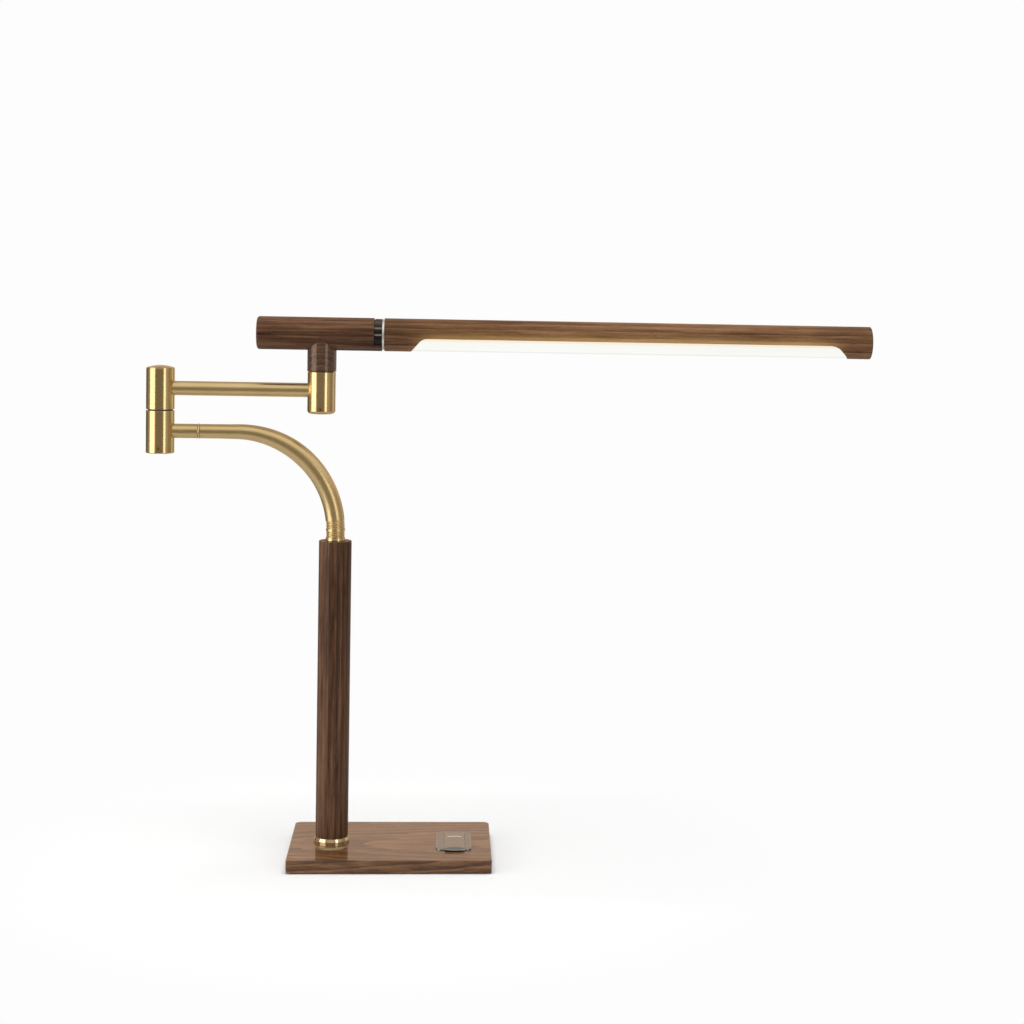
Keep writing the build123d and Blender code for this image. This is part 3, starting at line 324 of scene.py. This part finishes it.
steelPlain = {
    "lines": 2, "marksAlong": 90, "marksAcross": 2400,
    "rough": 0.28, "roughSpread": 0.12, "relief": 0.000004,
    "dark": (0.48, 0.47, 0.46), "light": (0.60, 0.59, 0.58),
}
aluminiumPlain = {
    "lines": 0, "marksAlong": 60, "marksAcross": 2400,
    "rough": 0.33, "roughSpread": 0.10, "relief": 0.000006,
    "dark": (0.72, 0.72, 0.73), "light": (0.82, 0.82, 0.83),
}


# paint, plastic, rubber and the like: a speckled colour with a fine surface

mouldedLook = {
    "roughSpread": 0.12,
    "shine": 0.5,
    "coat": 0.0,
    "coatRough": 0.08,
    "paintedGlints": [],       # painted reflections: height of the middle, half the height and the colour of each
}


def moulded(name, changes):
    look = dict(mouldedLook, **changes)
    material, tree, shader = startMaterial(name)
    speck = noise(tree, scaledPlace(tree, grey(look["grainScale"])), 3, 0.6)
    cloud = noise(tree, scaledPlace(tree, grey(55)), 2, 0.5)
    mixed = compute(tree, "ADD", compute(tree, "MULTIPLY", speck, 0.6), compute(tree, "MULTIPLY", cloud, 0.4))
    colour = ramp(tree, mixed, [(0.3, look["dark"]), (0.7, look["light"])])
    # painted reflections: coloured lines at set heights
    for middle, half, paintedGlintColour in look["paintedGlints"]:
        rise = between(tree, 2, middle - half, middle)
        fall = between(tree, 2, middle + half, middle)
        colour = blendColours(tree, compute(tree, "MULTIPLY", rise, fall), colour, paintedGlintColour)
    tree.links.new(colour, shader.inputs["Base Color"])
    rough = compute(tree, "ADD", compute(tree, "MULTIPLY", speck, look["roughSpread"]),
                    look["rough"] - look["roughSpread"] / 2)
    tree.links.new(rough, shader.inputs["Roughness"])
    shader.inputs["Specular IOR Level"].default_value = look["shine"]
    shader.inputs["Coat Weight"].default_value = look["coat"]
    shader.inputs["Coat Roughness"].default_value = look["coatRough"]
    bump(tree, shader, speck, look["relief"])
    return material


blackGloss = {
    "dark": (0.006, 0.004, 0.003), "light": (0.014, 0.009, 0.006), "rough": 0.30, "coat": 0.25,
    "grainScale": 900, "relief": 0.000002, "shine": 0.15,
    # painted reflections of the lamps as two pale lines, and a brownish painted reflection above them
    "paintedGlints": [
        (0.4827, 0.0013, (0.22, 0.19, 0.15)),
        (0.4888, 0.0013, (0.17, 0.14, 0.11)),
        (0.4940, 0.0030, (0.055, 0.036, 0.026)),
    ],
}
blackPlastic = {"dark": (0.012, 0.012, 0.013), "light": (0.030, 0.030, 0.032), "rough": 0.45,
                "grainScale": 1500, "relief": 0.00001}
blackRubber = {"dark": (0.012, 0.012, 0.012), "light": (0.035, 0.034, 0.032), "rough": 0.78,
               "grainScale": 1100, "relief": 0.00004}
frictionDisc = {"dark": (0.030, 0.024, 0.018), "light": (0.075, 0.060, 0.045), "rough": 0.7,
                "grainScale": 1300, "relief": 0.00002}
paintedSteel = {"dark": (0.020, 0.020, 0.021), "light": (0.042, 0.042, 0.043), "rough": 0.5,
                "grainScale": 1700, "relief": 0.00002}
boardGreen = {"dark": (0.012, 0.070, 0.035), "light": (0.030, 0.120, 0.060), "rough": 0.35,
              "grainScale": 700, "relief": 0.00001}
componentBlack = {"dark": (0.020, 0.020, 0.022), "light": (0.060, 0.058, 0.060), "rough": 0.4,
                  "grainScale": 900, "relief": 0.00001}
leadJacket = {"dark": (0.55, 0.53, 0.50), "light": (0.70, 0.68, 0.64), "rough": 0.5,
              "grainScale": 600, "relief": 0.00002}


# lit pieces

litLook = {
    "shine": 0.2,
    "bands": [],        # height from, height to, and the tint under it
}


def lit(name, changes):
    look = dict(litLook, **changes)
    material, tree, shader = startMaterial(name)
    cloud = noise(tree, scaledPlace(tree, look["scale"]), 2, 0.5)
    colour = ramp(tree, cloud, [(0.3, look["dark"]), (0.7, look["light"])])
    for low, high, tint in look["bands"]:
        tinted = blendColours(tree, 1.0, colour, tint, "MULTIPLY")
        colour = blendColours(tree, between(tree, 2, low, high), tinted, colour)
    body = blendColours(tree, 1.0, colour, grey(look["body"]), "MULTIPLY")
    tree.links.new(body, shader.inputs["Base Color"])
    tree.links.new(colour, shader.inputs["Emission Color"])
    shader.inputs["Emission Strength"].default_value = look["strength"]
    shader.inputs["Roughness"].default_value = look["rough"]
    shader.inputs["Specular IOR Level"].default_value = look["shine"]
    return material


opalGlow = {
    "dark": (0.985, 0.885, 0.725), "light": (1.0, 0.905, 0.750), "strength": 0.775, "rough": 0.45,
    "scale": (9, 60, 60), "body": 0.22,
    # cream at the top and whiter below it; the thin grey line at the bottom edge is painted shade
    "bands": [
        (0.4765, 0.4785, (0.985, 1.095, 1.270)),
        (0.4690, 0.4697, (0.850, 0.865, 0.855)),
    ],
}
diodeGlow = {
    "dark": (0.95, 0.80, 0.42), "light": (1.0, 0.90, 0.55), "strength": 1.0, "rough": 0.4,
    "scale": (900, 900, 900), "body": 0.6,
}
windowPale = {
    "dark": (0.50, 0.50, 0.47), "light": (0.72, 0.72, 0.68), "strength": 0.05, "rough": 0.25,
    "scale": (400, 400, 400), "body": 1.0,
}

# painted light: the light bar's wood emits just above the opal strip, standing in for the strip's light
# falling on it; its heights, and where it fades in and out
paintedLipGlow = {
    "colour": (1.0, 0.66, 0.22), "strength": 0.20, "edge": 0.4792, "top": 0.492,
    "left": (0.008, 0.040), "right": (0.385, 0.418),
}


# painted light on the wood, given as emission that fades upwards and towards both ends
def addPaintedGlow(tree, shader, look):
    fade = compute(tree, "SUBTRACT", 1.0, between(tree, 2, look["edge"], look["top"]))
    inside = between(tree, 0, *look["left"])
    inside = compute(tree, "SUBTRACT", inside, between(tree, 0, *look["right"]))
    level = compute(tree, "MULTIPLY", compute(tree, "MULTIPLY", fade, fade), inside)
    shader.inputs["Emission Color"].default_value = (*look["colour"], 1)
    tree.links.new(compute(tree, "MULTIPLY", level, look["strength"]), shader.inputs["Emission Strength"])


# which finish each node takes

def dress(material, *names):
    for name in names:
        data = nodes[name].data
        data.materials.clear()
        data.materials.append(material)


headMaterial, headTree, headShader = walnut("walnutHead", headWood)
addPaintedGlow(headTree, headShader, paintedLipGlow)
dress(walnut("walnutPost", postWood)[0], "post")
dress(walnut("walnutStem", stemWood)[0], "stem")
dress(walnut("walnutTee", teeWood)[0], "tee_bar")
dress(headMaterial, "head_housing")
dress(walnut("walnutBase", baseWood)[0], "base_plate")
dress(brushed("brassTube", brassTube), "stub_tube", "arm_tube", "curved_neck")
dress(brushed("brassKnuckle", brassKnuckle), "lower_elbow", "upper_elbow", "elbow_cap", "wrist",
      "lower_elbow_plug", "wrist_plug", "neck_coupling", "elbow_nuts", "lock_nuts", "clamp_nut",
      "stem_insert", "bar_insert")
dress(brushed("brassPolished", brassPolished), "post_collar", "post_ferrule", "seam_sleeve")
dress(brushed("washerPale", washerPale), "pivot_washer")
dress(brushed("nickelSatin", nickelSatin), "switch_bezel")
dress(brushed("buttonMetal", dict(nickelSatin, rough=0.22)), "button_cap")
dress(brushed("steelPlain", steelPlain), "elbow_spindle", "wrist_spindle", "head_spindle", "tie_rod",
      "clamp_washer", "cover_screws", "board_screws", "sink_screws", "elbow_spring_washer",
      "wrist_spring_washer", "head_spring_washer", "button_springs")
dress(brushed("brassDark", brassDark), "lower_elbow_grub", "wrist_grub")
dress(brushed("aluminiumPlain", aluminiumPlain), "heat_sink")
dress(moulded("paintedSteel", paintedSteel), "ballast", "base_cover")
dress(moulded("blackGloss", blackGloss), "pivot_ring")
dress(moulded("blackPlastic", blackPlastic), "switch_housing", "cord_gland")
dress(moulded("blackRubber", blackRubber), "base_pad")
dress(moulded("frictionDisc", frictionDisc), "elbow_washer", "wrist_washer")
dress(moulded("boardGreen", boardGreen), "driver_board", "switch_board", "led_board")
dress(moulded("componentBlack", componentBlack), "driver_parts")
dress(moulded("leadJacket", leadJacket), "base_lead", "arm_lead", "tee_lead", "head_lead")
dress(lit("opalGlow", opalGlow), "diffuser")
dress(lit("diodeGlow", diodeGlow), "leds")
dress(lit("windowPale", windowPale), "button_window")
print("finishes given to the frame's nodes")


# floor, world and lamps

floorLook = {
    "radius": 0.75,
    "place": (0.0, 0.0, -0.0003),
    "pale": (0.88, 0.88, 0.875),
    "speckDepth": 0.01,    # how much darker the floor's specks are
    "inMetal": 0.52,       # the share of its brightness that metal sees
    "fadeFrom": 0.10,      # metres from the middle, where the backdrop's white takes over
    "fadeTo": 0.42,
    "background": 0.982,
}


def makeFloor(look):
    mesh = bpy.data.meshes.new("floor")
    shape = bmesh.new()
    bmesh.ops.create_circle(shape, cap_ends=True, segments=128, radius=look["radius"])
    shape.to_mesh(mesh)
    shape.free()
    floor = bpy.data.objects.new("floor", mesh)
    floor.location = look["place"]
    bpy.context.collection.objects.link(floor)
    material, tree, shader = startMaterial("floorPale")
    place = node(tree, "ShaderNodeTexCoord")
    far = node(tree, "ShaderNodeVectorMath", operation="LENGTH")
    wire(tree, place, "Object", far, 0)
    fade = smoothBetween(tree, far.outputs["Value"], look["fadeFrom"], look["fadeTo"])
    rays = node(tree, "ShaderNodeLightPath")
    speck = noise(tree, scaledPlace(tree, grey(300)), 2, 0.5)
    darker = tuple(part - look["speckDepth"] for part in look["pale"])
    pale = ramp(tree, speck, [(0, darker), (1, look["pale"])])
    dimmed = blendColours(tree, rays.outputs["Is Glossy Ray"], grey(1), grey(look["inMetal"]))
    tree.links.new(blendColours(tree, 1.0, pale, dimmed, "MULTIPLY"), shader.inputs["Base Color"])
    shader.inputs["Roughness"].default_value = 0.9
    shader.inputs["Specular IOR Level"].default_value = 0.0
    white = node(tree, "ShaderNodeEmission", {"Strength": look["background"]})
    seen = compute(tree, "MULTIPLY", rays.outputs["Is Camera Ray"], fade)
    mix = node(tree, "ShaderNodeMixShader")
    tree.links.new(seen, mix.inputs["Fac"])
    tree.links.new(shader.outputs["BSDF"], mix.inputs[1])
    tree.links.new(white.outputs["Emission"], mix.inputs[2])
    tree.links.new(mix.outputs["Shader"], tree.nodes["Material Output"].inputs["Surface"])
    mesh.materials.append(material)


worldLook = {
    "background": 0.982,      # what the camera sees
    "fill": 0.32,             # plain light from all round
    "ceiling": 0.85,          # seen in metal and lacquer from above
    "ceilingBehind": 0.42,
    "backWall": (0.71, 0.51, 0.38),     # seen in lacquer from low behind
    "roomTint": (1.0, 0.90, 0.80),      # of the room's darker parts
    "tintBelow": 0.5,                   # the level under which a part counts as dark
    # where each part starts and is full, as shares of a direction of length 1
    "wallBehind": (0.3, 0.6),
    "wallRaised": (0.05, 0.13),
    "ceilingBack": (-0.1, 0.5),
    "ceilingRaised": (0.30, 0.62),
    # the room as metal sees it: degrees from the camera's side, to its right, and how bright
    "room": [(-180, 0.97), (-158, 0.97), (-148, 0.12), (-118, 0.14), (-108, 0.32), (-86, 0.34),
             (-78, 0.22), (23, 0.22), (46, 0.20), (52, 0.46), (64, 0.42), (80, 0.29), (102, 0.27),
             (110, 0.60), (124, 0.60),
             (132, 0.30), (150, 0.35), (160, 0.97), (180, 0.97)],
}


def makeWorld(look):
    world = bpy.data.worlds.new("studio")
    bpy.context.scene.world = world
    world.use_nodes = True
    tree = world.node_tree
    background = tree.nodes["Background"]
    place = node(tree, "ShaderNodeTexCoord")
    split = node(tree, "ShaderNodeSeparateXYZ")
    wire(tree, place, "Generated", split, "Vector")
    front = compute(tree, "MULTIPLY", split.outputs["Y"], -1.0)
    azimuth = compute(tree, "ARCTAN2", split.outputs["X"], front)
    share = compute(tree, "MULTIPLY_ADD", azimuth, 0.5 / math.pi, 0.5)
    warm = look["roomTint"]
    room = ramp(tree, share, [
        (angle / 360 + 0.5, tuple(level * (tint if level < look["tintBelow"] else 1) for tint in warm))
        for angle, level in look["room"]
    ])
    behind = smoothBetween(tree, split.outputs["Y"], *look["wallBehind"])
    raised = smoothBetween(tree, split.outputs["Z"], *look["wallRaised"])
    wall = blendColours(tree, compute(tree, "MULTIPLY", behind, raised), room, look["backWall"])
    ceiling = blendColours(tree, smoothBetween(tree, split.outputs["Y"], *look["ceilingBack"]),
                           grey(look["ceiling"]), grey(look["ceilingBehind"]))
    above = smoothBetween(tree, split.outputs["Z"], *look["ceilingRaised"])
    reflected = blendColours(tree, above, wall, ceiling)
    rays = node(tree, "ShaderNodeLightPath")
    glossy = blendColours(tree, rays.outputs["Is Glossy Ray"], grey(look["fill"]), reflected)
    seen = compute(tree, "MAXIMUM", rays.outputs["Is Camera Ray"], rays.outputs["Is Transmission Ray"])
    colour = blendColours(tree, seen, glossy, grey(look["background"]))
    tree.links.new(colour, background.inputs["Color"])


def softbox(name, aim, azimuth, height, distance, size, power, glossy=True):
    data = bpy.data.lights.new(name, "AREA")
    data.shape = "RECTANGLE"
    data.size, data.size_y = size
    data.energy = power
    lamp = bpy.data.objects.new(name, data)
    turn = math.radians(azimuth)
    flat = Vector((math.sin(turn), -math.cos(turn), 0)) * distance
    lamp.location = Vector(aim) + flat + Vector((0, 0, height))
    lamp.rotation_mode = "QUATERNION"
    lamp.rotation_quaternion = (Vector(aim) - lamp.location).to_track_quat("-Z", "Y")
    lamp.visible_camera = False
    lamp.visible_glossy = glossy
    bpy.context.collection.objects.link(lamp)


lampAim = (0.0, 0.0, 0.30)
# azimuth 0 is the camera's side, and grows to its right
lampSet = {
    "left": dict(azimuth=-63, height=0.1, distance=2.0, size=(1.50, 1.5), power=13),
    "leftFill": dict(azimuth=-68, height=0.1, distance=2.0, size=(1.50, 1.5), power=9, glossy=False),
    "right": dict(azimuth=37, height=0.1, distance=2.2, size=(0.62, 1.5), power=4.8),
    "top": dict(azimuth=0, height=2.0, distance=0.1, size=(1.8, 1.4), power=46, glossy=False),
    "front": dict(azimuth=5, height=0.7, distance=2.4, size=(1.6, 1.2), power=5, glossy=False),
}

makeFloor(floorLook)
makeWorld(worldLook)
for lampName, lampLook in lampSet.items():
    softbox("lamp_" + lampName, lampAim, **lampLook)
bpy.context.scene.view_settings.view_transform = "Standard"
print("floor, world and lamps placed")
